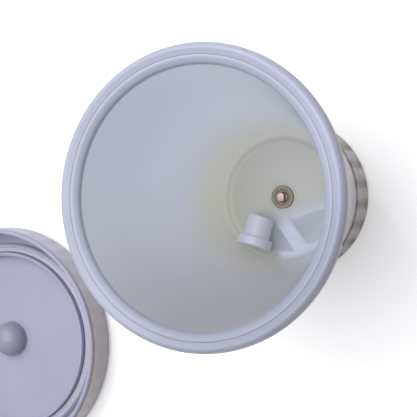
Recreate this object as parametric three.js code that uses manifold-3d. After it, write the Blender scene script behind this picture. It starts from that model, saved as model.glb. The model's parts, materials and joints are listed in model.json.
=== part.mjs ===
// Paw washer cup: a double-walled cup whose fluted base twists to drive a spindle in the floor.
// The loose drive hub lies in the cup and the lid lies inside-up beside it.
// Millimetres, Z up, origin on the cup's axis at its resting face.
import * as THREE from 'three';
import { mergeVertices } from 'three/addons/utils/BufferGeometryUtils.js';
import Module from 'manifold-3d';

const wasm = await Module();
wasm.setup();

// ---- driving sizes -------------------------------------------------------------------------
const RIM_R = 55;           // outer radius of the rolled rim
const RIM_W = 8.2;          // from the rim's outside in to the mouth
const FLOOR_DEPTH = 95.5;   // top of the rim down to the liner's floor
const FLOOR_R = 27;         // radius at the foot of the liner's wall
const GRIP_H = 20;          // height of the twist base
const WALL = 2.2;           // wall of the outer body
const LINER_T = 1.7;        // wall and floor of the liner
const GRIP_T = 2.2;         // wall of the twist base over its ribs
const WEB_T = 2.2;          // disc across the twist base
const COVER_T = 3;          // base cover
const PAD_T = 1.4;          // base pad
const SUPPORT_H = 3.8;      // frame under the floor
const FLANGE_T = 1.7;       // inner flange of the outer body
const CAVITY_H = 3.7;       // room for screw heads between base and cup
const SHAFT_R = 2;          // spindle radius
const SHAFT_PROUD = 3;      // spindle above the floor
const LID_H = 18;           // height of the lid
const LID_T = 2.6;          // skirt of the lid over its ribs
const PANEL_T = 2.4;        // panel of the lid
const BOSS_R = 8.8;         // dome inside the lid
const HUB_R = 6;            // barrel of the drive hub
const HUB_FLANGE_R = 7.8;   // flange of the drive hub
const HUB_L = 13.5;         // length of the drive hub
const HUB_HEADING = 75;     // degrees, the way its barrel points
const HUB_BEARING = 236;    // degrees, where it lies round the axis
const LID_AT = [-158, -68]; // where the lid lies

// ---- clearances and small sizes -------------------------------------------------------------
const SEAT = 0.1;           // flat faces that bear on each other
const FIT = 0.2;            // round parts that sit in each other
const RUN = 0.5;            // round parts that turn in each other
const LOOSE = 0.7;          // the lid over the rim
const NECK_GAP = 0.3;       // the liner inside the neck
const HUB_CLEAR = 1;        // the hub's flange inside the foot of the wall
const PAD_PROUD = 0.6;      // the pad stands below the base's edge
const GRIP_RIBS = 24;
const GRIP_DEPTH = 0.9;
const LID_RIBS = 40;
const LID_RIB_DEPTH = 0.5;
const SPOKES = 5;
const SPOKE_W = 5.3;
const SPOKE_TURN = 16;      // degrees, the way the first spoke runs, from +X
const SPOKE_SHIFT = 7.4;    // each spoke runs this far to the right of the axis
const SUPPORT_SCREW_TURN = 4.5; // degrees, the first screw under the floor, from +X
const BIG = 48;             // steps round the large parts
const SMALL = 24;           // steps round the small ones

// ---- solids --------------------------------------------------------------------------------
function toSolid(geometry) {
  geometry.deleteAttribute('normal');
  geometry.deleteAttribute('uv');
  const g = mergeVertices(geometry, 1e-5);
  return new wasm.Manifold(new wasm.Mesh({
    numProp: 3,
    vertProperties: new Float32Array(g.attributes.position.array),
    triVerts: new Uint32Array(g.index.array),
  }));
}

// Turns a closed outline of [radius, height] corners about Z. The outline runs with its
// material on the left. A corner's third value, when given, is the share of the ripple it takes.
function turned(outline, steps, ripple = () => 0) {
  const pos = [];
  const tri = [];
  const rows = outline.map(([r, z, share = 0]) => {
    const first = pos.length / 3;
    if (r === 0) {
      pos.push(0, 0, z);
      return () => first;
    }
    for (let i = 0; i < steps; i++) {
      const a = (2 * Math.PI * i) / steps;
      const rr = r + share * ripple(i);
      pos.push(rr * Math.cos(a), rr * Math.sin(a), z);
    }
    return (i) => first + (i % steps);
  });
  outline.forEach(([r], k) => {
    const n = (k + 1) % outline.length;
    const [p, q] = [rows[k], rows[n]];
    if (r === 0 && outline[n][0] === 0) return;
    for (let i = 0; i < steps; i++) {
      if (r !== 0) tri.push(p(i), p(i + 1), q(i + 1));
      if (outline[n][0] !== 0) tri.push(p(i), q(i + 1), q(i));
    }
  });
  const g = new THREE.BufferGeometry();
  g.setAttribute('position', new THREE.BufferAttribute(new Float32Array(pos), 3));
  g.setIndex(tri);
  return toSolid(g);
}

const rod = (r, z0, z1, steps = SMALL) => turned([[0, z0], [r, z0], [r, z1], [0, z1]], steps);
const tube = (r0, r1, z0, z1, steps = SMALL) => turned([[r0, z0], [r1, z0], [r1, z1], [r0, z1]], steps);

function block(x0, x1, y0, y1, z0, z1) {
  const g = new THREE.BoxGeometry(x1 - x0, y1 - y0, z1 - z0);
  g.translate((x0 + x1) / 2, (y0 + y1) / 2, (z0 + z1) / 2);
  return toSolid(g);
}

const spin = (s, deg) => s.rotate([0, 0, deg]);
const around = (n, turn, f) => Array.from({ length: n }, (_, i) => f(turn + (360 * i) / n));

// Corners of a quarter round of radius rr about (cr, cz), from angle a0 to a1 in degrees.
function arc(cr, cz, rr, a0, a1, n) {
  return Array.from({ length: n + 1 }, (_, i) => {
    const a = ((a0 + ((a1 - a0) * i) / n) * Math.PI) / 180;
    return [cr + rr * Math.cos(a), cz + rr * Math.sin(a)];
  });
}

// ---- levels, from the resting face up --------------------------------------------------------
const COVER_Z0 = PAD_PROUD;
const COVER_Z1 = COVER_Z0 + COVER_T;
const WEB_Z0 = COVER_Z1 + SEAT;
const WEB_Z1 = WEB_Z0 + WEB_T;
const SHELL_Z0 = WEB_Z1 + CAVITY_H;              // inner flange of the outer body
const SHELL_Z1 = SHELL_Z0 + FLANGE_T;
const SUPPORT_Z0 = SHELL_Z1 + SEAT;
const SUPPORT_Z1 = SUPPORT_Z0 + SUPPORT_H;       // top of the ribs, just under the floor
const FLOOR_UNDER = SUPPORT_Z1 + SEAT;
const FLOOR_Z = FLOOR_UNDER + LINER_T;
const CUP_H = FLOOR_Z + FLOOR_DEPTH;
const GRIP_Z1 = PAD_PROUD + GRIP_H;
const GLIDE_Z0 = GRIP_Z1 + SEAT;
const GLIDE_Z1 = GLIDE_Z0 + 0.6;
const STEP_Z = GLIDE_Z1 + SEAT;                  // shoulder of the outer body
const LIP_Z = CUP_H - 5;                         // foot of the liner's lip
const SHELF_Z = LIP_Z - 1.1;                     // ledge under the lip

// ---- radii ---------------------------------------------------------------------------------
const MOUTH_R = RIM_R - RIM_W;
const SLOPE = (MOUTH_R - FLOOR_R) / (LIP_Z - FLOOR_Z);
const linerR = (z) => FLOOR_R + SLOPE * (z - FLOOR_Z);
const SPIGOT_IN = linerR(STEP_Z) + LINER_T + NECK_GAP;   // neck of the outer body
const SPIGOT_R = SPIGOT_IN + WALL;
const GRIP_IN = SPIGOT_R + RUN;                  // bore of the twist base round the neck
const BASE_R = GRIP_IN + GRIP_T;
const SUPPORT_R = SPIGOT_IN - RUN;
const COVER_R = GRIP_IN - FIT;
const PAD_R = COVER_R - 2;
const BEAD_W = 4.5;                              // rolled rim, outside to the liner's lip
const LIP_R = RIM_R - BEAD_W;                    // outer edge of the liner's lip
const BODY_IN = linerR(SHELF_Z) + LINER_T + 0.4; // inside of the outer body under the ledge
const SHOULDER_R = BODY_IN + WALL;               // outer body just under the rim
const SEAL_R = SHAFT_R + 2.9;
const WELL_R = SEAL_R + FIT;                     // hole in the floor
const BUSH_R = SHAFT_R + 2;

// ---- cup -----------------------------------------------------------------------------------
const SUPPORT_SCREWS = SPOKES;
const SUPPORT_SCREW_R = 1.2;
const SUPPORT_HEAD_R = 2.3;
const SUPPORT_SCREW_AT = SUPPORT_R - SUPPORT_HEAD_R - 1.7;
const SPOKE_END = Math.sqrt(SUPPORT_SCREW_AT ** 2 - SPOKE_SHIFT ** 2);
const FLANGE_IN = SUPPORT_SCREW_AT - SUPPORT_HEAD_R - 3.7;

// Copies of a solid, made by f, at each screw under the floor.
const atSupportScrews = (f) => around(SUPPORT_SCREWS, SUPPORT_SCREW_TURN, (a) =>
  spin(f().translate([SUPPORT_SCREW_AT, 0, 0]), a));

function outerBody() {
  const rim = [
    [SHOULDER_R, SHELF_Z - 2.9], [SHOULDER_R + 1, SHELF_Z - 1.4], [RIM_R - 0.9, SHELF_Z - 0.6],
    [RIM_R - 0.15, SHELF_Z + 0.6], [RIM_R, SHELF_Z + 2.2], [RIM_R - 0.3, SHELF_Z + 3.9],
    [RIM_R - 1, CUP_H - 0.7], [RIM_R - 1.9, CUP_H], [RIM_R - 2.7, CUP_H - 0.2],
    [LIP_R + FIT, CUP_H - 1], [LIP_R + FIT, SHELF_Z],
  ];
  const s = turned([
    [FLANGE_IN, SHELL_Z0], [SPIGOT_R, SHELL_Z0], [SPIGOT_R, STEP_Z], [BASE_R - 0.9, STEP_Z],
    [BASE_R - 0.2, STEP_Z + 0.8], ...rim,
    [BODY_IN, SHELF_Z], [BODY_IN, SHELF_Z - 1.5], [BASE_R - 0.2 - WALL, STEP_Z + 2.8],
    [SPIGOT_IN + 0.2, STEP_Z - 0.3], [SPIGOT_IN, STEP_Z - 1.5], [SPIGOT_IN, SHELL_Z1], [FLANGE_IN, SHELL_Z1],
  ], BIG);
  const holes = atSupportScrews(() => rod(SUPPORT_SCREW_R + FIT, SHELL_Z0 - 1, SHELL_Z1 + 1, 16));
  return holes.reduce((m, h) => m.subtract(h), s);
}

function innerLiner() {
  const round = 3.5;
  return turned([
    [WELL_R, FLOOR_UNDER], [FLOOR_R - 0.2, FLOOR_UNDER], [FLOOR_R + LINER_T - 0.5, FLOOR_UNDER + 0.9],
    [linerR(FLOOR_Z + 2) + LINER_T, FLOOR_Z + 2], [linerR(LIP_Z) + LINER_T, LIP_Z],
    [LIP_R, LIP_Z], [LIP_R, CUP_H - 1.5], [LIP_R - 0.4, CUP_H - 1], [LIP_R - 1.1, CUP_H - 1.1],
    [MOUTH_R + 1.7, CUP_H - 1.7], [MOUTH_R + 0.9, CUP_H - 2.3], [linerR(CUP_H - 3.2), CUP_H - 3.2],
    [linerR(FLOOR_Z + round), FLOOR_Z + round], [linerR(FLOOR_Z + 1.4) - 0.6, FLOOR_Z + 1.4],
    [FLOOR_R - 1.4, FLOOR_Z + 0.35], [FLOOR_R - round, FLOOR_Z], [WELL_R, FLOOR_Z],
  ], BIG);
}

function rimGasket() {
  return tube(BODY_IN + FIT, LIP_R - 0.2, SHELF_Z + SEAT, LIP_Z - SEAT, BIG);
}

function floorSupport() {
  const ringIn = SUPPORT_R - 5;
  let s = tube(ringIn, SUPPORT_R, SUPPORT_Z0, SUPPORT_Z1, BIG);
  const collarR = WELL_R + 2.2;
  s = s.add(rod(collarR, BUSH_Z0 + 0.9, SUPPORT_Z1));
  around(SPOKES, SPOKE_TURN, (a) => {
    const spoke = block(0, SPOKE_END, -SPOKE_W / 2, SPOKE_W / 2, SUPPORT_Z0, SUPPORT_Z1);
    s = s.add(spin(spoke.translate([0, -SPOKE_SHIFT, 0]), a));
  });
  s = s.subtract(rod(BUSH_R + FIT, 0, CUP_H)).subtract(rod(WELL_R, BUSH_Z1, CUP_H));
  const bosses = atSupportScrews(() => rod(SUPPORT_SCREW_R + FIT + 1.2, SUPPORT_Z0, SUPPORT_Z1));
  const holes = atSupportScrews(() => rod(SUPPORT_SCREW_R + FIT, SUPPORT_Z0 - 1, SUPPORT_Z1 - 0.8, 16));
  s = bosses.reduce((m, b) => m.add(b), s);
  return holes.reduce((m, h) => m.subtract(h), s);
}

// Pan-headed screw driven upwards: head from z0 up to z1, shank to z2, crossed recess below.
function screw(headR, shankR, z0, z1, z2) {
  const bar = 0.35;
  const s = turned([
    [0, z0], [headR - 0.4, z0], [headR, z0 + 0.35], [headR, z1], [shankR, z1],
    [shankR, z2 - 0.6], [shankR * 0.5, z2], [0, z2],
  ], 16);
  const depth = (z1 - z0) * 0.55;
  return s.subtract(block(-headR * 0.6, headR * 0.6, -bar, bar, z0 - 1, z0 + depth))
    .subtract(block(-bar, bar, -headR * 0.6, headR * 0.6, z0 - 1, z0 + depth));
}

// ---- spindle -------------------------------------------------------------------------------
const SEAL_Z0 = FLOOR_UNDER - 1.7;
const CLIP_Z0 = SEAL_Z0 - 0.9;
const CLIP_Z1 = SEAL_Z0 - 0.3;
const WASHER_Z1 = CLIP_Z0 - SEAT;
const WASHER_Z0 = WASHER_Z1 - 0.4;
const BUSH_Z1 = WASHER_Z0 - SEAT;
const COLLAR_Z1 = WEB_Z1 + 1.1;                  // hub of the twist base
const BUSH_Z0 = COLLAR_Z1 + 0.3;
const SHAFT_TOP = FLOOR_Z + SHAFT_PROUD;
const FLAT = SHAFT_R * 0.7;                      // flat of the D, from the axis
const SPINDLE_R = SHAFT_R + 0.15;

function shaftBush() {
  return turned([
    [SPINDLE_R, BUSH_Z0], [BUSH_R + 1.4, BUSH_Z0], [BUSH_R + 1.4, BUSH_Z0 + 0.8], [BUSH_R, BUSH_Z0 + 0.8],
    [BUSH_R, BUSH_Z1], [SPINDLE_R, BUSH_Z1],
  ], SMALL);
}

function shaftSeal() {
  return turned([
    [SPINDLE_R, SEAL_Z0], [SEAL_R, SEAL_Z0], [SEAL_R, FLOOR_Z + 0.2], [SEAL_R - 0.3, FLOOR_Z + 0.5],
    [SEAL_R - 1, FLOOR_Z + 0.5], [SEAL_R - 1.3, FLOOR_Z + 0.2], [SEAL_R - 1.3, SEAL_Z0 + 1.4],
    [SPINDLE_R, SEAL_Z0 + 1.1],
  ], SMALL);
}

function driveShaft() {
  const groove = SHAFT_R - 0.5;
  const s = turned([
    [0, WEB_Z0 + 0.2], [SHAFT_R - 0.3, WEB_Z0 + 0.2], [SHAFT_R, WEB_Z0 + 0.5],
    [SHAFT_R, CLIP_Z0 - SEAT], [groove, CLIP_Z0 - SEAT], [groove, CLIP_Z1 + SEAT], [SHAFT_R, CLIP_Z1 + SEAT],
    [SHAFT_R, SHAFT_TOP - 0.4], [SHAFT_R - 0.4, SHAFT_TOP], [0, SHAFT_TOP],
  ], SMALL);
  return s.subtract(block(FLAT, SHAFT_R + 1, -SHAFT_R - 1, SHAFT_R + 1, FLOOR_Z - 0.6, SHAFT_TOP + 1))
    .subtract(block(FLAT, SHAFT_R + 1, -SHAFT_R - 1, SHAFT_R + 1, 0, COLLAR_Z1));
}

function thrustWasher() {
  return tube(SPINDLE_R, SEAL_R - 0.2, WASHER_Z0, WASHER_Z1);
}

function retainingClip() {
  const gap = 1.1;
  return tube(SHAFT_R - 0.4, SHAFT_R + 1.6, CLIP_Z0, CLIP_Z1)
    .subtract(block(0, SHAFT_R + 3, -gap, gap, CLIP_Z0 - 1, CLIP_Z1 + 1));
}

// D-shaped rod: the bore that takes a flatted end of the spindle.
function dRod(z0, z1) {
  const r = SHAFT_R + FIT;
  return rod(r, z0, z1).subtract(block(FLAT + FIT, r + 1, -r - 1, r + 1, z0 - 1, z1 + 1));
}

// ---- twist base ----------------------------------------------------------------------------
const COVER_SCREWS = 3;
const COVER_SCREW_R = 1.4;
const COVER_HEAD_R = 2.6;
const COVER_SCREW_AT = COVER_R - COVER_HEAD_R - 6.4;
const BOSS_Z1 = SHELL_Z0 - 1.7;

function twistBase() {
  const ribs = (i) => [0, 0, -GRIP_DEPTH, -GRIP_DEPTH][i % 4];
  let s = turned([
    [0, WEB_Z0], [GRIP_IN, WEB_Z0], [GRIP_IN, PAD_PROUD], [BASE_R - 1.5, PAD_PROUD],
    [BASE_R - 0.5, PAD_PROUD + 0.8], [BASE_R - 0.3, PAD_PROUD + 1.6], [BASE_R, PAD_PROUD + 2.4, 1],
    [BASE_R, GRIP_Z1 - 2.2, 1],
    [BASE_R - 0.3, GRIP_Z1 - 1.4], [BASE_R - 0.6, GRIP_Z1 - 0.4], [BASE_R - 1.1, GRIP_Z1], [GRIP_IN, GRIP_Z1],
    [GRIP_IN, WEB_Z1], [0, WEB_Z1],
  ], GRIP_RIBS * 4, ribs);
  s = s.add(rod(SHAFT_R + 4.5, WEB_Z0 + 0.5, COLLAR_Z1)).subtract(dRod(0, COLLAR_Z1 + 1));
  around(COVER_SCREWS, 90, (a) => {
    const at = (m) => spin(m.translate([COVER_SCREW_AT, 0, 0]), a);
    s = s.add(at(rod(COVER_SCREW_R + 2, WEB_Z0 + 0.5, BOSS_Z1, 24)));
    s = s.subtract(at(rod(COVER_SCREW_R + FIT, 0, BOSS_Z1 - 0.8, 16)));
  });
  return s;
}

function baseCover() {
  const recess = COVER_Z0 + PAD_T - PAD_PROUD + SEAT;
  let s = turned([
    [0, recess], [PAD_R + 0.3, recess], [PAD_R + 0.3, COVER_Z0], [COVER_R, COVER_Z0],
    [COVER_R, COVER_Z1], [0, COVER_Z1],
  ], BIG);
  around(COVER_SCREWS, 90, (a) => {
    const at = (m) => spin(m.translate([COVER_SCREW_AT, 0, 0]), a);
    s = s.subtract(at(rod(COVER_SCREW_R + FIT, 0, COVER_Z1 + 1, 16)))
      .subtract(at(rod(COVER_HEAD_R + 0.3, 0, recess + 1.3, 24)));
  });
  return s;
}

function basePad() {
  return turned([[0, 0], [PAD_R - 0.4, 0], [PAD_R, 0.4], [PAD_R, PAD_T], [0, PAD_T]], BIG);
}

function glideRing() {
  return tube(SPIGOT_R + 0.3, BASE_R - 1.5, GLIDE_Z0, GLIDE_Z1, BIG);
}

// ---- loose drive hub -------------------------------------------------------------------------
function driveHub() {
  const flange = HUB_L * 0.29;
  const s = turned([
    [0, 0], [HUB_FLANGE_R - 0.5, 0], [HUB_FLANGE_R, 0.5], [HUB_FLANGE_R, flange - 0.5],
    [HUB_FLANGE_R - 0.5, flange], [HUB_R + 0.5, flange], [HUB_R, flange + 0.5],
    [HUB_R - 0.2, HUB_L - 0.6], [HUB_R - 0.8, HUB_L], [0, HUB_L],
  ], SMALL).subtract(dRod(-1, HUB_L - 4));
  // Laid on its side: the flange's inner edge and the barrel's end both bear on the floor.
  const edge = flange - 0.5;
  const lean = Math.atan((HUB_FLANGE_R - (HUB_R - 0.2)) / (HUB_L - 0.6 - edge));
  const up = HUB_FLANGE_R * Math.cos(lean) - (HUB_L / 2 - edge) * Math.sin(lean) + SEAT;
  const out = FLOOR_R - HUB_CLEAR - (HUB_L / 2) * Math.cos(lean) - HUB_FLANGE_R * Math.sin(lean);
  const bearing = (HUB_BEARING * Math.PI) / 180;
  return s.translate([0, 0, -HUB_L / 2])
    .rotate([0, 90 + (lean * 180) / Math.PI, HUB_HEADING])
    .translate([out * Math.cos(bearing), out * Math.sin(bearing), FLOOR_Z + up]);
}

// ---- lid, inside-up --------------------------------------------------------------------------
const SKIRT_IN = RIM_R + LOOSE;
const LID_R = SKIRT_IN + LID_T;
const PLUG_R = MOUTH_R - LOOSE - 0.5;
const STEM_R = 3;

function lidShell() {
  const ribs = (i) => (i % 2 ? -LID_RIB_DEPTH : 0);
  return turned([
    [STEM_R + FIT, 0], [LID_R - 2.6, 0], [LID_R - 0.8, 0.7], [LID_R - 0.3, 2.2], [LID_R, 3.4, 1],
    [LID_R, LID_H - 2.4, 1],
    [LID_R - 0.3, LID_H - 1.2], [LID_R - 1, LID_H], [SKIRT_IN + 0.6, LID_H], [SKIRT_IN, LID_H - 0.7],
    [SKIRT_IN, PANEL_T + 1.6], [SKIRT_IN - 1, PANEL_T], [PLUG_R, PANEL_T], [PLUG_R, PANEL_T + 4.6],
    [PLUG_R - 0.5, PANEL_T + 5.2], [PLUG_R - 1.5, PANEL_T + 5.2], [PLUG_R - 2, PANEL_T + 4.6],
    [PLUG_R - 2, PANEL_T], [STEM_R + FIT, PANEL_T],
  ], LID_RIBS * 2, ribs);
}

function lidSealRing() {
  const z = PANEL_T + SEAT;
  const r = PLUG_R + FIT;
  return turned([
    [r, z], [r + 4.4, z], [r + 4.4, z + 1.5], [r + 3.4, z + 3], [r + 2.7, z + 3], [r + 2.3, z + 1.7],
    [r, z + 1.7],
  ], BIG);
}

function lidCentreBoss() {
  const r = BOSS_R;
  const z = PANEL_T + SEAT;
  const dome = arc(0, z + 1.5, r, 0, 90, 6).map(([x, y]) => [x, z + 1.5 + (y - z - 1.5) * 0.85]);
  dome[dome.length - 1][0] = 0;
  return turned([[0, 0.5], [STEM_R, 0.5], [STEM_R, z], [r, z], ...dome], SMALL);
}

// ---- colours and finish ------------------------------------------------------------------------
const finish = (color, roughness, metalness = 0, extra = {}) =>
  new THREE.MeshStandardMaterial({ color, roughness, metalness, ...extra });
const LOOK = {
  shell: finish(0xe4e3f2, 0.22),
  liner: finish(0xd9e2ea, 0.18, 0, { transparent: true, opacity: 0.9 }),
  white: finish(0xf3f3f5, 0.4),
  lid: finish(0xdcdaea, 0.3),
  rubber: finish(0x6f6a4e, 0.8),
  dark: finish(0x3b3b3e, 0.85),
  silicone: finish(0xefeff2, 0.6),
  brass: finish(0xb5813f, 0.3, 1),
  steel: finish(0xc2c5c8, 0.32, 1),
  grip: finish(0xcfcdd8, 0.35),
};

// ---- assembly ----------------------------------------------------------------------------------
const group = new THREE.Group();
group.name = 'paw_washer_cup';

function put(name, solid, material) {
  const m = solid.getMesh();
  const g = new THREE.BufferGeometry();
  g.setAttribute('position', new THREE.BufferAttribute(new Float32Array(m.vertProperties), 3));
  g.setIndex(Array.from(m.triVerts));
  g.computeVertexNormals();
  const mesh = new THREE.Mesh(g, material);
  mesh.name = name;
  group.add(mesh);
}

put('outer_body', outerBody(), LOOK.shell);
put('inner_liner', innerLiner(), LOOK.liner);
put('rim_gasket', rimGasket(), LOOK.silicone);
put('floor_support', floorSupport(), LOOK.white);
atSupportScrews(() => screw(SUPPORT_HEAD_R, SUPPORT_SCREW_R, SHELL_Z0 - 1.1, SHELL_Z0 - SEAT, SUPPORT_Z1 - 1.2))
  .forEach((s, i) => put(`support_screw_${i + 1}`, s, LOOK.steel));
put('shaft_bush', shaftBush(), LOOK.white);
put('shaft_seal', shaftSeal(), LOOK.rubber);
put('drive_shaft', driveShaft(), LOOK.brass);
put('thrust_washer', thrustWasher(), LOOK.steel);
put('retaining_clip', retainingClip(), LOOK.steel);
put('twist_base', twistBase(), LOOK.grip);
put('glide_ring', glideRing(), LOOK.white);
put('base_cover', baseCover(), LOOK.grip);
around(COVER_SCREWS, 90, (a) => a).forEach((a, i) => {
  const z0 = COVER_Z0 + PAD_T - PAD_PROUD + SEAT + 0.1;
  const s = screw(COVER_HEAD_R, COVER_SCREW_R, z0, z0 + 1.1, BOSS_Z1 - 1.2);
  put(`cover_screw_${i + 1}`, spin(s.translate([COVER_SCREW_AT, 0, 0]), a), LOOK.steel);
});
put('base_pad', basePad(), LOOK.dark);
put('drive_hub', driveHub(), LOOK.white);
put('lid_shell', lidShell().translate([...LID_AT, 0]), LOOK.lid);
put('lid_seal_ring', lidSealRing().translate([...LID_AT, 0]), LOOK.silicone);
put('lid_centre_boss', lidCentreBoss().translate([...LID_AT, 0]), LOOK.lid);

export default group;
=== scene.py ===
import json
import math

import bpy
from mathutils import Matrix, Vector


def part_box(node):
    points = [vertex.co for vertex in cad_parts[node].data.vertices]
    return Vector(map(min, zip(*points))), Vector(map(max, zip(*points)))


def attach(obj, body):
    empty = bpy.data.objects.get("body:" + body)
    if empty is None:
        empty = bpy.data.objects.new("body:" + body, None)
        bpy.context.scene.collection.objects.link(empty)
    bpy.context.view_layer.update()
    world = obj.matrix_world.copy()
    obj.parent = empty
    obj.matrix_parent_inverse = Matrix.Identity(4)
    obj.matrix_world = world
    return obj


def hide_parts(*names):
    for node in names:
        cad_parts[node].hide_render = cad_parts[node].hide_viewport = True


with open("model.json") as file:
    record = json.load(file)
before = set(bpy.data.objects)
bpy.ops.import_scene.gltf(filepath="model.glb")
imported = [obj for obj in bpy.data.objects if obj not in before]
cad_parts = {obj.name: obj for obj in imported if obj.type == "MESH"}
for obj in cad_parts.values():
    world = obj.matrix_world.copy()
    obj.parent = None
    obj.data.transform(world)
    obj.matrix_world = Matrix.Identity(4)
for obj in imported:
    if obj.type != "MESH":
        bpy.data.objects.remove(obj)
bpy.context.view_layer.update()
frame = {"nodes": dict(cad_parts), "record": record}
MM = 0.001


# ---- sizes, read from the CAD boxes, in millimetres ------------------------------------------
def node_box(name):
    low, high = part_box(name)
    return [c / MM for c in low], [c / MM for c in high]


BODY_LO, BODY_HI = node_box("outer_body")
LINER_LO, LINER_HI = node_box("inner_liner")
BASE_LO, BASE_HI = node_box("twist_base")
PAD_LO, PAD_HI = node_box("base_pad")
COVER_LO, COVER_HI = node_box("base_cover")
GLIDE_LO, GLIDE_HI = node_box("glide_ring")
SEAL_LO, SEAL_HI = node_box("shaft_seal")
SHAFT_LO, SHAFT_HI = node_box("drive_shaft")
LID_LO, LID_HI = node_box("lid_shell")
LIDSEAL_LO, LIDSEAL_HI = node_box("lid_seal_ring")
BOSS_LO, BOSS_HI = node_box("lid_centre_boss")

RIM_R, TOP = BODY_HI[0], BODY_HI[2]
LIP_R = LINER_HI[0]
LIP_WIDTH = 8.2     # from the rim's outer edge to the mouth
MOUTH_R = RIM_R - LIP_WIDTH
LINER_T = 1.7       # the liner's wall and floor
FLOOR_UNDER = LINER_LO[2]
FLOOR_Z = FLOOR_UNDER + LINER_T
FLOOR_R = 27.0
WALL = 2.2          # the outer body's wall
FLANGE_T = 1.7      # the outer body's inner flange, at the bottom
LIP_Z = TOP - 5     # underside of the liner's lip
SHELF_Z = LIP_Z - 1.1
WALL_GAP = 0.3      # between the liner's foot and the neck round it
WEB_T = 2.2         # the twist base's disc
GRIP_FLUTES = 24
SLOPE = (MOUTH_R - FLOOR_R) / (LIP_Z - FLOOR_Z)
BASE_R, GRIP_Z1 = BASE_HI[0], BASE_HI[2]
SHELL_Z0 = BODY_LO[2]
STEP_Z = GLIDE_HI[2] + 0.1
LID_X, LID_Y = (LID_LO[0] + LID_HI[0]) / 2, (LID_LO[1] + LID_HI[1]) / 2
LID_R, LID_H = (LID_HI[0] - LID_LO[0]) / 2, LID_HI[2]
LID_PANEL = 2.4     # thickness of the lid's flat panel


def liner_r(z):
    """The liner's inner radius at a height."""
    return FLOOR_R + SLOPE * (z - FLOOR_Z)


NECK_IN = liner_r(STEP_Z) + LINER_T + WALL_GAP
NECK = NECK_IN + WALL


# ---- mesh helpers ------------------------------------------------------------------------------
def eased(corners, n=5):
    """Rounds each corner of a closed outline. A corner is (r, z) or (r, z, reach): the round
    starts that far from the corner, and never further than half way to its neighbour."""
    out = []
    count = len(corners)
    for i, corner in enumerate(corners):
        p = Vector(corner[:2])
        reach = corner[2] if len(corner) > 2 else 0
        a, b = Vector(corners[i - 1][:2]), Vector(corners[(i + 1) % count][:2])
        if reach <= 0:
            out.append(tuple(p))
            continue
        da, db = a - p, b - p
        pa = p + da.normalized() * min(reach, da.length * 0.499)
        pb = p + db.normalized() * min(reach, db.length * 0.499)
        for k in range(n + 1):
            t = k / n
            q = pa * (1 - t) ** 2 + p * 2 * t * (1 - t) + pb * t * t
            out.append((q.x, q.y))
    return out


def mesh_object(name, verts, faces, sharp=32):
    mesh = bpy.data.meshes.new(name)
    mesh.from_pydata([tuple(c * MM for c in v) for v in verts], [], faces)
    mesh.validate()
    mesh.shade_smooth()
    mesh.set_sharp_from_angle(angle=math.radians(sharp))
    obj = bpy.data.objects.new(name, mesh)
    bpy.context.scene.collection.objects.link(obj)
    weighted = obj.modifiers.new("even_normals", "WEIGHTED_NORMAL")
    weighted.keep_sharp = True
    return obj


def turned(name, outline, steps=160, ripple=None, centre=(0, 0), warp=None, sharp=32):
    """Turns a closed (r, z) outline about a vertical axis. ripple(angle, r, z) moves a point
    outwards and warp(x, y, z) moves it anywhere."""
    verts, faces, rows = [], [], []
    for r, z in outline:
        first = len(verts)
        if r < 1e-6:
            verts.append((centre[0], centre[1], z))
            rows.append([first] * steps)
            continue
        for i in range(steps):
            a = 2 * math.pi * i / steps
            rr = r + (ripple(a, r, z) if ripple else 0)
            p = (rr * math.cos(a), rr * math.sin(a), z)
            if warp:
                p = warp(*p)
            verts.append((p[0] + centre[0], p[1] + centre[1], p[2]))
        rows.append(list(range(first, first + steps)))
    for k, p in enumerate(rows):
        q = rows[(k + 1) % len(rows)]
        if p[0] == p[1] and q[0] == q[1]:
            continue
        for i in range(steps):
            j = (i + 1) % steps
            loop = []
            for v in (p[i], p[j], q[j], q[i]):
                if v not in loop:
                    loop.append(v)
            faces.append(loop)
    return mesh_object(name, verts, faces, sharp)


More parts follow.
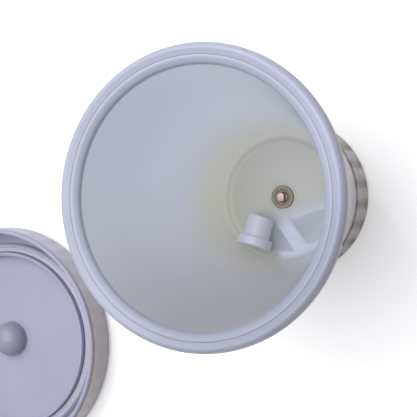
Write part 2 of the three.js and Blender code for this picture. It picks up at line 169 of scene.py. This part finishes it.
# ---- materials -----------------------------------------------------------------------------------
class Nodes:
    """A small wrapper that adds nodes and links them."""

    def __init__(self, name):
        self.material = bpy.data.materials.new(name)
        self.material.use_nodes = True
        self.tree = self.material.node_tree
        self.shader = self.tree.nodes["Principled BSDF"]
        self.place = self.add("ShaderNodeTexCoord").outputs["Object"]

    def add(self, kind, inputs=None, **settings):
        node = self.tree.nodes.new(kind)
        for key, value in settings.items():
            setattr(node, key, value)
        for key, value in (inputs or {}).items():
            self.set(node, key, value)
        return node

    def set(self, node, key, value):
        if isinstance(value, bpy.types.NodeSocket):
            self.tree.links.new(value, node.inputs[key])
        else:
            node.inputs[key].default_value = value

    def noise(self, scale, detail=3.0, rough=0.5, vector=None):
        node = self.add("ShaderNodeTexNoise", {"Scale": scale, "Detail": detail, "Roughness": rough,
                                               "Vector": vector or self.place})
        return node.outputs["Fac"]

    def ramp(self, value, low, high, out_low=0.0, out_high=1.0):
        node = self.add("ShaderNodeMapRange", {"Value": value, "From Min": low, "From Max": high,
                                               "To Min": out_low, "To Max": out_high},
                        interpolation_type="SMOOTHSTEP")
        return node.outputs["Result"]

    def math(self, operation, a, b=0.0):
        return self.add("ShaderNodeMath", {0: a, 1: b}, operation=operation).outputs[0]

    def vector(self, operation, a, b=None, output="Vector"):
        inputs = {0: a} if b is None else {0: a, 1: b}
        return self.add("ShaderNodeVectorMath", inputs, operation=operation).outputs[output]

    def mix(self, fac, a, b):
        node = self.add("ShaderNodeMix", data_type="RGBA")
        for key, value in ((0, fac), (6, a), (7, b)):
            if isinstance(value, tuple) and len(value) == 3:
                value = (*value, 1.0)
            self.set(node, key, value)
        return node.outputs[2]

    def axis_distance(self, axes):
        """Distance from the cup's axis."""
        squares = [self.math("MULTIPLY", axis, axis) for axis in axes[:2]]
        return self.math("SQRT", self.math("ADD", *squares))

    def stretched(self, sx, sy, sz):
        return self.add("ShaderNodeMapping", {"Vector": self.place, "Scale": (sx, sy, sz)}).outputs[0]

    def bump(self, height, strength, distance, normal=None):
        inputs = {"Height": height, "Strength": strength, "Distance": distance}
        if normal is not None:
            inputs["Normal"] = normal
        return self.add("ShaderNodeBump", inputs).outputs[0]

    def finish(self, **sockets):
        for key, value in sockets.items():
            key = key.replace("_", " ")
            if isinstance(value, tuple) and len(value) == 3 and key == "Base Color":
                value = (*value, 1.0)
            self.set(self.shader, key, value)
        return self.material


def front(n, axes):
    """From 0 on the cup's axis to 1 at its front and right edge, which the light reaches least."""
    toward = n.math("SUBTRACT", n.math("MULTIPLY", axes[0], 0.45), n.math("MULTIPLY", axes[1], 0.89))
    return n.ramp(toward, 0.005, 0.048)


def moulded(name, colour, worn, rough, grain=0.02, coat=0.0, scuffs=0.25, low=(), wall=None, light=0.0,
            flutes=None, shaded=1.0):
    """Moulded plastic: cloudy tone, fine grain, hairline scuffs and uneven gloss. low is a list of
    (colour, height, height): painted shade, the plastic is painted that colour going down from one height
    to the other.
    wall is (colour, x, y, radius, radius): painted shade, it turns that colour going out from one radius to
    the other, and more so at the front right.
    flutes is (colour, count, radius): the grooves of that many flutes outside the radius are painted that
    colour as shade.
    shaded is the tone's share that is left on the front of the cup; the rest is painted shade there."""
    n = Nodes(name)
    cloud = n.noise(30, 2, 0.5)
    fine = n.noise(2600, 2, 0.6)
    hair = n.noise(900, 3, 0.7, n.stretched(1, 0.08, 1))
    marks = n.ramp(hair, 0.60, 0.72)
    tone = n.mix(n.ramp(cloud, 0.25, 0.75), colour, worn)
    tone = n.mix(n.math("MULTIPLY", marks, 0.10 * scuffs), tone, tuple(c * 0.6 for c in colour))
    axes = n.add("ShaderNodeSeparateXYZ", {"Vector": n.place}).outputs
    # painted shade: each entry of low darkens the tone going down
    for shade, from_z, to_z in low:
        tone = n.mix(n.ramp(axes[2], from_z, to_z), tone, shade)
    # painted shade: darkens the tone toward the cup's front right
    if shaded < 1:
        tone = n.mix(front(n, axes), tone, n.mix(1 - shaded, tone, (0.0, 0.0, 0.0)))
    # painted shade in the grooves between the flutes
    if flutes:
        shade, count, radius = flutes
        turn = n.math("ARCTAN2", axes[1], axes[0])
        groove_shade = n.ramp(n.math("COSINE", n.math("MULTIPLY", turn, count)), 0.3, -1.0)
        outside = n.ramp(n.axis_distance(axes), radius - 0.0004, radius)
        tone = n.mix(n.math("MULTIPLY", groove_shade, outside), tone, shade)
    # painted shade on an outer wall, strongest at the front right
    if wall:
        shade, centre_x, centre_y, inner, outer = wall
        away = n.vector("SUBTRACT", n.place, (centre_x, centre_y, 0))
        reach = n.vector("LENGTH", n.vector("MULTIPLY", away, (1, 1, 0)), output="Value")
        across = n.vector("DOT_PRODUCT", away, (0.6, -0.8, 0), output="Value")
        painted_wall_shade = n.math("MULTIPLY", n.ramp(reach, inner, outer), n.ramp(across, -0.030, 0.030, 0.15, 1.0))
        tone = n.mix(painted_wall_shade, tone, shade)
    # painted glow: the tone is given out as emission, standing in for light coming through the plastic
    if light:
        n.set(n.shader, "Emission Color", tone)
        n.set(n.shader, "Emission Strength", light)
    gloss = n.math("ADD", n.ramp(cloud, 0.3, 0.7, rough * 0.85, rough * 1.2),
                   n.math("MULTIPLY", marks, scuffs * 0.3))
    normal = n.bump(fine, grain * 6, 0.00004)
    return n.finish(Base_Color=tone, Roughness=gloss, Normal=normal, IOR=1.44,
                    Coat_Weight=coat, Coat_Roughness=0.08)


def liner_material():
    """Milky translucent plastic. Light coming through the wall is a painted glow, more on one side and low
    down, and the wall is painted lighter on one side and darker on the other as painted light and shade. It
    is stained yellow-green round the floor, and clearer over one part of the floor, where the frame beneath
    shows through; there it has a painted lighter bluish tone and more glow."""
    n = Nodes("liner_plastic")
    axes = n.add("ShaderNodeSeparateXYZ", {"Vector": n.place}).outputs
    x, y, z = axes[0], axes[1], axes[2]
    cloud = n.noise(16, 2, 0.45)
    blotch = n.noise(48, 3, 0.5)
    # painted light and shade: the wall is lighter toward +Y and darker toward -Y
    painted_side_light = n.mix(n.ramp(n.math("SUBTRACT", y, n.math("MULTIPLY", x, 0.2)), -0.045, 0.030),
                  (0.365, 0.362, 0.390), (0.395, 0.425, 0.505))
    tone = n.mix(n.ramp(z, 0.016, 0.070), (0.355, 0.358, 0.350), painted_side_light)
    # painted shade: darker toward +X
    tone = n.mix(n.ramp(x, 0.016, 0.046, 0.0, 0.42), tone, (0.22, 0.225, 0.255))
    # the lip is lilac like the shell; front() adds painted shade toward the front right
    lip = n.mix(front(n, axes), (0.40, 0.42, 0.53), (0.31, 0.325, 0.42))
    tone = n.mix(n.ramp(z, (TOP - 3.6) * MM, (TOP - 2.2) * MM), tone, lip)
    radius = n.axis_distance(axes)
    low = n.ramp(z, 0.018, 0.055, 1.0, 0.0)
    side = n.ramp(n.math("ADD", x, n.math("MULTIPLY", y, 0.3)), -0.030, 0.010, 1.0, 0.10)
    stain = n.math("MULTIPLY", n.math("MULTIPLY", low, side), n.ramp(blotch, 0.2, 0.8, 0.55, 1.0))
    tone = n.mix(n.math("MULTIPLY", stain, 0.62), tone, (0.360, 0.365, 0.285))
    halo = n.math("MULTIPLY", n.ramp(radius, 0.0045, 0.0085, 1.0, 0.0), n.ramp(blotch, 0.2, 0.8, 0.6, 1.0))
    tone = n.mix(n.math("MULTIPLY", halo, 0.50), tone, (0.275, 0.26, 0.19))
    hair = n.ramp(n.noise(700, 3, 0.7, n.stretched(1, 1, 0.06)), 0.55, 0.80)
    below = n.ramp(n.math("SUBTRACT", n.math("MULTIPLY", x, 0.33), n.math("MULTIPLY", y, 0.94)),
                   0.0015, 0.0150)
    beside = n.ramp(n.math("ADD", x, n.math("MULTIPLY", y, 0.17)), -0.0100, -0.0050)
    clear = n.math("MULTIPLY", n.math("MULTIPLY", below, beside), n.ramp(radius, 0.0262, 0.0282, 1.0, 0.0))
    # the clear sector: alpha lets the frame show through; the lighter bluish tone is painted light coming
    # through
    bluish = n.math("MULTIPLY", clear, n.ramp(z, 0.0185, 0.0205, 0.75, 0.0))
    tone = n.mix(bluish, tone, (0.385, 0.420, 0.520))
    top = n.math("MULTIPLY", n.ramp(z, 0.0160, 0.0165), n.ramp(z, 0.0185, 0.0205, 0.40, 0.0))
    under = n.ramp(z, 0.0160, 0.0165, 0.97, 0.0)
    alpha = n.math("SUBTRACT", 1.0, n.math("MULTIPLY", clear, n.math("ADD", top, under)))
    # painted glow: emission standing in for light through the wall, stronger low down and toward +Y and -X,
    # weaker on the floor, none just under the lip
    through = n.math("ADD", n.ramp(z, 0.015, 0.100, 0.62, 0.42),
                     n.ramp(n.math("SUBTRACT", n.math("MULTIPLY", y, 0.8), x), -0.050, 0.050, -0.40, 0.18))
    through = n.math("MULTIPLY", through, n.ramp(z, 0.0168, 0.0190, 0.34, 1.0))
    through = n.math("MULTIPLY", through, n.ramp(z, (TOP - 4.0) * MM, (TOP - 3.2) * MM, 1.0, 0.0))
    # painted glow over the clear sector
    clear_floor = n.math("MULTIPLY", clear, n.ramp(z, 0.0185, 0.0205, 1.0, 0.0))
    through = n.math("ADD", through, n.math("MULTIPLY", clear_floor, 0.20))
    gloss = n.math("ADD", n.ramp(cloud, 0.2, 0.8, 0.31, 0.37), n.math("MULTIPLY", hair, 0.05))
    return n.finish(Base_Color=tone, Roughness=gloss, Alpha=alpha, IOR=1.45,
                    Emission_Color=tone, Emission_Strength=through)


def rubber(name, colour, dusty, rough=0.7):
    n = Nodes(name)
    speck = n.noise(420, 4, 0.7)
    tone = n.mix(n.ramp(speck, 0.42, 0.72), colour, dusty)
    normal = n.bump(n.noise(1800, 3, 0.6), 0.35, 0.00008)
    gloss = n.ramp(speck, 0.3, 0.7, rough - 0.08, rough + 0.1)
    return n.finish(Base_Color=tone, Roughness=gloss, Normal=normal)


def metal(name, colour, dull, rough, turned_marks=True):
    n = Nodes(name)
    patch = n.noise(260, 4, 0.6)
    tone = n.mix(n.ramp(patch, 0.40, 0.70), colour, dull)
    lines = n.noise(2200, 2, 0.5, n.stretched(0.1, 0.1, 1) if turned_marks else n.place)
    normal = n.bump(lines, 0.25, 0.00003)
    gloss = n.ramp(patch, 0.3, 0.7, rough, rough + 0.18)
    return n.finish(Base_Color=tone, Metallic=1.0, Roughness=gloss, Normal=normal)


# shaded: painted shade on the cup's front right
SHELL = moulded("shell_plastic", (0.41, 0.43, 0.56), (0.39, 0.405, 0.515), 0.34, coat=0.12, shaded=0.74,
                # low: painted shade on the outer wall, dark and warm just under the rim's bead, then a
                # milder shade further down
                low=[((0.22, 0.20, 0.212), (TOP - 0.3) * MM, (TOP - 2.8) * MM),
                     ((0.355, 0.345, 0.40), (TOP - 9) * MM, (TOP - 34) * MM)])
LINER = liner_material()
# WHITE: painted glow on the hub and glide ring
WHITE = moulded("white_plastic", (0.455, 0.465, 0.555), (0.42, 0.43, 0.515), 0.40, light=0.17)
# the frame finish: strong painted glow, so the floor support shows through the liner's floor
GLOWING_FRAME = moulded("white_plastic_frame_painted_glow", (0.50, 0.53, 0.65), (0.47, 0.50, 0.62), 0.45, light=0.52)
LID = moulded("lid_plastic", (0.375, 0.375, 0.50), (0.35, 0.35, 0.465), 0.36, coat=0.10,
              # wall: painted shade on the lid's outer wall at the front right
              wall=((0.30, 0.272, 0.288), LID_X * MM, LID_Y * MM, (LID_R - 1.2) * MM, (LID_R - 0.4) * MM))
# the boss: a darker copy of the lid plastic, painted shade
BOSS_SHADED = moulded("lid_plastic_boss_painted_shade", (0.30, 0.30, 0.395), (0.28, 0.28, 0.36), 0.36, coat=0.10)
# the grip's warm grey-brown tone is painted shade and a painted warm reflection on a light plastic; the
# scuffs are wear
GRIP = moulded("grip_plastic", (0.39, 0.362, 0.358), (0.325, 0.297, 0.288), 0.42, grain=0.05, scuffs=0.8,
               # flutes: painted shade in the grooves of the grip
               flutes=((0.235, 0.208, 0.203), GRIP_FLUTES, (BASE_R - 1.0) * MM))
COVER = moulded("grip_plastic_cover", (0.42, 0.39, 0.39), (0.34, 0.31, 0.30), 0.45, grain=0.05, scuffs=0.8)
SILICONE = rubber("silicone", (0.46, 0.46, 0.55), (0.42, 0.42, 0.49), 0.50)
SEAL = rubber("seal_rubber", (0.29, 0.265, 0.20), (0.345, 0.32, 0.25), 0.60)
PAD = rubber("pad_rubber", (0.035, 0.035, 0.038), (0.10, 0.10, 0.10), 0.78)
BRASS = metal("brass", (0.52, 0.41, 0.38), (0.36, 0.28, 0.25), 0.50)
STEEL = metal("steel", (0.62, 0.63, 0.65), (0.40, 0.40, 0.42), 0.30, False)
BY_SLOT = {"shell_plastic": SHELL, "liner_plastic": LINER, "white_plastic": WHITE, "lid_plastic": LID,
           "grip_plastic": GRIP, "silicone": SILICONE, "seal_rubber": SEAL, "pad_rubber": PAD,
           "brass": BRASS, "steel": STEEL}


def stand_in(obj, node, body, material):
    """obj takes a CAD node's place."""
    obj.data.materials.append(material)
    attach(obj, body)
    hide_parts(node)


# ---- cup -------------------------------------------------------------------------------------------
def outer_body():
    inside = liner_r(SHELF_Z) + LINER_T + 0.4
    shoulder = inside + WALL
    groove, seam = LIP_R + 0.2, LIP_R + 0.05
    flange_in = NECK_IN - 10.5
    outline = eased([
        (flange_in, SHELL_Z0, 0.4), (NECK, SHELL_Z0, 0.6), (NECK, STEP_Z, 0.3), (BASE_R - 0.9, STEP_Z, 0.2),
        (BASE_R - 0.2, STEP_Z + 0.9, 0.7), (shoulder, SHELF_Z - 3.2, 1.2),
        (shoulder + 0.9, SHELF_Z - 1.5, 0.9), (RIM_R - 0.75, SHELF_Z - 0.75, 0.7),
        (RIM_R, SHELF_Z + 1.1, 1.2), (RIM_R, SHELF_Z + 3.7, 1.2),
        (RIM_R - 0.8, TOP - 0.5, 1.1), (RIM_R - 2.1, TOP, 1.0), (seam + 1.2, TOP - 0.45, 0.9),
        (seam, TOP - 0.85, 0.12), (seam, TOP - 2.2), (groove, TOP - 2.3), (groove, SHELF_Z, 0.2),
        (inside, SHELF_Z, 0.2), (inside, SHELF_Z - 1.6, 0.5),
        (BASE_R - 0.2 - WALL, STEP_Z + 2.8, 1.0), (NECK_IN, STEP_Z - 1.2, 0.8),
        (NECK_IN, SHELL_Z0 + FLANGE_T, 0.3), (flange_in, SHELL_Z0 + FLANGE_T, 0.3)])
    stand_in(turned("outer_body_shell", outline, 192), "outer_body", "cup", SHELL)


def inner_liner():
    well = (SEAL_HI[0] - SEAL_LO[0]) / 2 + 0.2
    t = LINER_T
    outline = eased([
        (well, FLOOR_UNDER, 0.2), (FLOOR_R + 0.9, FLOOR_UNDER, 1.4),
        (liner_r(FLOOR_Z + 3) + t, FLOOR_Z + 3, 1.0),
        (liner_r(LIP_Z) + t, LIP_Z, 0.3), (LIP_R, LIP_Z, 0.2), (LIP_R, TOP - 0.88, 0.10),
        (LIP_R - 0.9, TOP - 0.85, 0.6), (MOUTH_R + 1.7, TOP - 1.45, 0.8), (MOUTH_R + 0.8, TOP - 2.2, 0.7),
        (liner_r(TOP - 3.9), TOP - 3.9, 0.9),
        (liner_r(FLOOR_Z + 6), FLOOR_Z + 6, 2.5), (FLOOR_R + 0.1, FLOOR_Z, 4.2),
        (FLOOR_R - 7.0, FLOOR_Z, 0.3), (well, FLOOR_Z, 0.35)], 8)
    stand_in(turned("inner_liner_shell", outline, 192), "inner_liner", "cup", LINER)


def shaft_seal():
    r = (SEAL_HI[0] - SEAL_LO[0]) / 2
    z0, z1 = SEAL_LO[2], SEAL_HI[2]
    outline = eased([
        (2.15, z0), (r, z0, 0.2), (r, z1 - 0.35, 0.3), (r - 0.4, z1, 0.35), (r - 0.95, z1 - 0.05, 0.35),
        (r - 1.5, z1 - 0.9, 0.5), (2.15, z1 - 1.5, 0.2)])
    stand_in(turned("shaft_seal_lip", outline, 72), "shaft_seal", "cup", SEAL)


def glide_ring():
    inner = NECK + 0.3
    outer, z0, z1 = GLIDE_HI[0], GLIDE_LO[2], GLIDE_HI[2]
    outline = eased([(inner, z0, 0.1), (outer, z0, 0.15), (outer, z1, 0.15), (inner, z1, 0.1)], 3)
    stand_in(turned("glide_ring_band", outline, 160), "glide_ring", "cup", WHITE)


# ---- turning base --------------------------------------------------------------------------------
def drive_shaft():
    r = SHAFT_HI[1]
    z0, z1 = SHAFT_LO[2], SHAFT_HI[2]
    clip_lo, clip_hi = node_box("retaining_clip")
    clip0, clip1 = clip_lo[2] - 0.1, clip_hi[2] + 0.1
    flat_z, collar = FLOOR_Z - 0.6, node_box("shaft_bush")[0][2] - 0.3

    def flatted(x, y, z):
        return (min(x, r * 0.7) if z > flat_z + 0.01 or z < collar else x, y, z)

    outline = eased([
        (0, z0), (r, z0, 0.3), (r, collar - 0.01), (r, collar + 0.01), (r, clip0, 0.05),
        (r - 0.5, clip0, 0.05), (r - 0.5, clip1, 0.05), (r, clip1, 0.05), (r, flat_z), (r, flat_z + 0.02),
        (r, z1, 0.45), (0, z1)], 4)
    stand_in(turned("drive_shaft_rod", outline, 72, warp=flatted), "drive_shaft", "base", BRASS)


def twist_base():
    bore = NECK + 0.5
    z0, z1 = BASE_LO[2], GRIP_Z1
    web0 = COVER_HI[2] + 0.1
    web1 = web0 + WEB_T

    def ribs(a, r, z):
        if r < BASE_R - 0.05:
            return 0
        wave = 0.5 - 0.5 * math.cos(GRIP_FLUTES * a)
        fade = min(1, max(0, (z - z0 - 1.6) / 2.2)) * min(1, max(0, (z1 - 1.2 - z) / 2.2))
        return -0.9 * wave ** 0.6 * fade

    wall = [(BASE_R, z0 + 1.7 + (z1 - z0 - 3.0) * k / 10) for k in range(11)]
    below = eased([(2.3, web0), (bore, web0), (bore, z0, 0.2), (BASE_R - 1.4, z0, 0.5),
                   (BASE_R - 0.25, z0 + 0.9, 0.6)])
    above = eased([(BASE_R - 0.35, z1 - 0.55, 0.5), (BASE_R - 1.1, z1, 0.5), (bore, z1, 0.4), (bore, web1),
                   (6.5, web1), (6.5, web1 + 1.1, 0.2), (2.3, web1 + 1.1)])
    grip = turned("twist_base_grip", below + wall + above, 288, ripple=ribs)
    stand_in(grip, "twist_base", "base", GRIP)


def base_cover():
    z0, z1 = COVER_LO[2], COVER_HI[2]
    r, pocket = COVER_HI[0], PAD_HI[0] + 0.3
    outline = eased([(0, z0 + 0.9), (pocket, z0 + 0.9, 0.1), (pocket, z0, 0.2), (r, z0, 0.3), (r, z1, 0.2),
                     (0, z1)])
    stand_in(turned("base_cover_disc", outline, 160), "base_cover", "base", COVER)


def base_pad():
    r, z1 = PAD_HI[0], PAD_HI[2]
    grooves = []
    depth, pitch = 0.35, 3
    for k in range(9):
        g = r - 4 - pitch * k
        grooves = [(g - 0.8, 0), (g - 0.6, depth, 0.1), (g - 0.2, depth, 0.1), (g, 0)] + grooves
    outline = eased([(0, 0)] + grooves + [(r, 0, 0.5), (r, z1, 0.2), (0, z1)], 3)
    stand_in(turned("base_pad_disc", outline, 160), "base_pad", "base", PAD)


# ---- loose hub -------------------------------------------------------------------------------------
def drive_hub():
    barrel, flange_r, length = 6.0, 7.8, 13.5
    flange = length * 0.29
    outline = eased([
        (0, length - 4), (2.2, length - 4, 0.2), (2.2, 0.25), (2.45, 0, 0.1), (flange_r, 0, 0.6),
        (flange_r, flange, 0.6), (barrel, flange, 0.7), (barrel - 0.2, length, 0.9), (3.4, length, 0.3),
        (3.1, length - 0.25, 0.2), (0, length - 0.25)], 6)

    def keyed(x, y, z):
        return (min(x, 1.6) if math.hypot(x, y) < 2.3 and z < length - 2 else x, y, z)

    obj = turned("drive_hub_body", outline, 96, warp=keyed)
    edge = flange - 0.5
    lean = math.atan((flange_r - (barrel - 0.2)) / (length - 0.6 - edge))
    out = FLOOR_R - 1 - length / 2 * math.cos(lean) - flange_r * math.sin(lean)
    bearing = math.radians(236)
    up = flange_r * math.cos(lean) - (length / 2 - edge) * math.sin(lean) + 0.1
    at = Vector((out * math.cos(bearing), out * math.sin(bearing), FLOOR_Z + up)) * MM
    move = (Matrix.Translation(at) @ Matrix.Rotation(math.radians(75), 4, "Z")
            @ Matrix.Rotation(math.pi / 2 + lean, 4, "Y") @ Matrix.Translation((0, 0, -length / 2 * MM)))
    obj.data.transform(move)
    stand_in(obj, "drive_hub", "hub", WHITE)


# ---- lid, inside-up --------------------------------------------------------------------------------
def lid():
    skirt_in = RIM_R + 0.7
    panel = LID_PANEL
    plug = MOUTH_R - 1.2
    centre = (LID_X, LID_Y)

    def ribs(a, r, z):
        if r < LID_R - 0.02:
            return 0
        fade = min(1, max(0, (z - 3.0) / 1.6)) * min(1, max(0, (LID_H - 2.0 - z) / 1.6))
        return -0.5 * (0.5 - 0.5 * math.cos(40 * a)) ** 0.8 * fade

    wall = [(LID_R, 3.0 + (LID_H - 5.0) * k / 8) for k in range(9)]
    outside = eased([(3.2, 0), (LID_R - 2.4, 0, 1.2), (LID_R - 0.3, 1.5, 1.0)])
    inside = eased([
        (LID_R - 0.25, LID_H - 0.9, 0.7), (LID_R - 1.0, LID_H, 0.6), (skirt_in + 0.3, LID_H, 0.5),
        (skirt_in, LID_H - 1.0, 0.5), (skirt_in, panel, 2.0), (plug, panel, 0.3), (plug, panel + 4.9, 0.6),
        (plug - 0.9, panel + 5.2, 0.5), (plug - 2.0, panel + 4.9, 0.6), (plug - 2.0, panel, 1.2),
        (3.2, panel, 0.2)], 6)
    cap = turned("lid_shell_cap", outside + wall + inside, 240, ripple=ribs, centre=centre)
    stand_in(cap, "lid_shell", "lid", LID)

    z0, z1 = LIDSEAL_LO[2], LIDSEAL_HI[2]
    r0, r1 = plug + 0.2, (LIDSEAL_HI[0] - LIDSEAL_LO[0]) / 2
    outline = eased([(r0, z0, 0.2), (r1, z0, 0.3), (r1, z0 + 1.5, 0.5), (r1 - 1.0, z1, 0.6),
                     (r1 - 1.7, z1, 0.4), (r1 - 2.2, z0 + 2.2, 0.5), (r0, z0 + 2.5, 0.4)])
    band = turned("lid_seal_band", outline, 192, centre=centre)
    stand_in(band, "lid_seal_ring", "lid", SILICONE)

    r = (BOSS_HI[0] - BOSS_LO[0]) / 2
    z0, z1 = BOSS_LO[2], BOSS_HI[2]
    foot = panel + 0.1
    side = foot + 1.5
    angles = [math.radians(a) for a in range(0, 90, 6)]
    dome = [(r * math.cos(a), side + (z1 - side) * math.sin(a)) for a in angles]
    outline = [(0, z0), (3.0, z0), (3.0, foot), (r - 0.3, foot), (r, foot + 0.3)] + dome + [(0, z1)]
    boss = turned("lid_centre_dome", outline, 96, centre=centre)
    stand_in(boss, "lid_centre_boss", "lid", BOSS_SHADED)


outer_body()
inner_liner()
shaft_seal()
glide_ring()
drive_shaft()
twist_base()
base_cover()
base_pad()
drive_hub()
lid()

# ---- CAD nodes that stay, with their own finish ------------------------------------------------
REPLACED = {"outer_body", "inner_liner", "shaft_seal", "glide_ring", "drive_shaft", "twist_base",
            "base_cover", "base_pad", "drive_hub", "lid_shell", "lid_seal_ring", "lid_centre_boss"}
for part in frame["record"]["subparts"]:
    node = part["node"]
    if node in REPLACED:
        continue
    obj = frame["nodes"][node]
    obj.data.materials.clear()
    # the floor support takes the glowing frame finish: painted glow
    obj.data.materials.append(GLOWING_FRAME if node == "floor_support" else BY_SLOT[part["material_slot"]])
    bevel = obj.modifiers.new("soft_edges", "BEVEL")
    bevel.width = 0.00012
    bevel.segments = 2
    bevel.limit_method = "ANGLE"
    bevel.angle_limit = math.radians(40)


# ---- floor, light and camera ------------------------------------------------------------------
def studio():
    n = Nodes("table_top")
    tone = n.mix(n.noise(6, 3), (0.90, 0.90, 0.905), (0.925, 0.925, 0.93))
    material = n.finish(Base_Color=tone, Roughness=0.75, Emission_Color=tone, Emission_Strength=0.28)
    half, z = 20000, -0.2
    corners = [(-half, -half, z), (half, -half, z), (half, half, z), (-half, half, z)]
    table = mesh_object("table_top", corners, [(0, 1, 2, 3)])
    table.data.materials.append(material)

    world = bpy.data.worlds.new("studio")
    world.use_nodes = True
    tree = world.node_tree
    toward = tree.nodes.new("ShaderNodeVectorMath")
    toward.operation = "DOT_PRODUCT"
    toward.inputs[1].default_value = (-0.6, 0.6, 0.53)
    tree.links.new(tree.nodes.new("ShaderNodeTexCoord").outputs["Generated"], toward.inputs[0])
    blend = tree.nodes.new("ShaderNodeValToRGB")
    blend.color_ramp.elements[0].color = (0.30, 0.285, 0.28, 1)
    blend.color_ramp.elements[1].color = (0.56, 0.575, 0.61, 1)
    spread = tree.nodes.new("ShaderNodeMapRange")
    spread.inputs["From Min"].default_value = -0.8
    spread.inputs["From Max"].default_value = 0.8
    tree.links.new(toward.outputs["Value"], spread.inputs["Value"])
    tree.links.new(spread.outputs["Result"], blend.inputs["Fac"])
    tree.links.new(blend.outputs["Color"], tree.nodes["Background"].inputs["Color"])
    bpy.context.scene.world = world

    def softbox(name, at, aim, size, power, colour):
        light = bpy.data.lights.new(name, "AREA")
        light.shape = "DISK"
        light.size = size
        light.energy = power
        light.color = colour
        obj = bpy.data.objects.new(name, light)
        obj.location = at
        obj.rotation_euler = (Vector(aim) - Vector(at)).to_track_quat("-Z", "Y").to_euler()
        bpy.context.scene.collection.objects.link(obj)

    softbox("overhead", (-0.18, 0.16, 1.25), (0, 0, 0.05), 1.3, 12.0, (1.0, 0.99, 0.98))
    softbox("key", (-0.60, 0.70, 0.80), (0, 0, 0.08), 0.5, 1.3, (1.0, 0.985, 0.97))
    softbox("glint", (-0.10, 0.42, 0.60), (0, 0.05, 0.1), 0.04, 0.35, (1, 1, 1))


def camera():
    """Looks down into the cup from +X, tilted off its axis, with the cup's axis across the frame."""
    tilt, roll = math.radians(23.9), math.radians(2.2)
    distance = 0.330
    view = Vector((math.sin(tilt), 0, math.cos(tilt)))
    right0 = Vector((math.cos(tilt), 0, -math.sin(tilt)))
    up0 = Vector((0, 1, 0))
    right = math.cos(roll) * right0 - math.sin(roll) * up0
    up = math.sin(roll) * right0 + math.cos(roll) * up0
    at = Vector((0, 0, (TOP - 3.5) * MM)) + distance * view + 0.00438 * right - 0.00357 * up
    data = bpy.data.cameras.new("photo_view")
    data.sensor_width = 36
    data.lens = 80.7
    data.clip_start = 0.01
    obj = bpy.data.objects.new("photo_view", data)
    turn = Matrix((right, up, view)).transposed().to_4x4()
    obj.matrix_world = Matrix.Translation(at) @ turn
    bpy.context.scene.collection.objects.link(obj)
    bpy.context.scene.camera = obj


studio()
camera()
bpy.context.scene.view_settings.view_transform = "Standard"
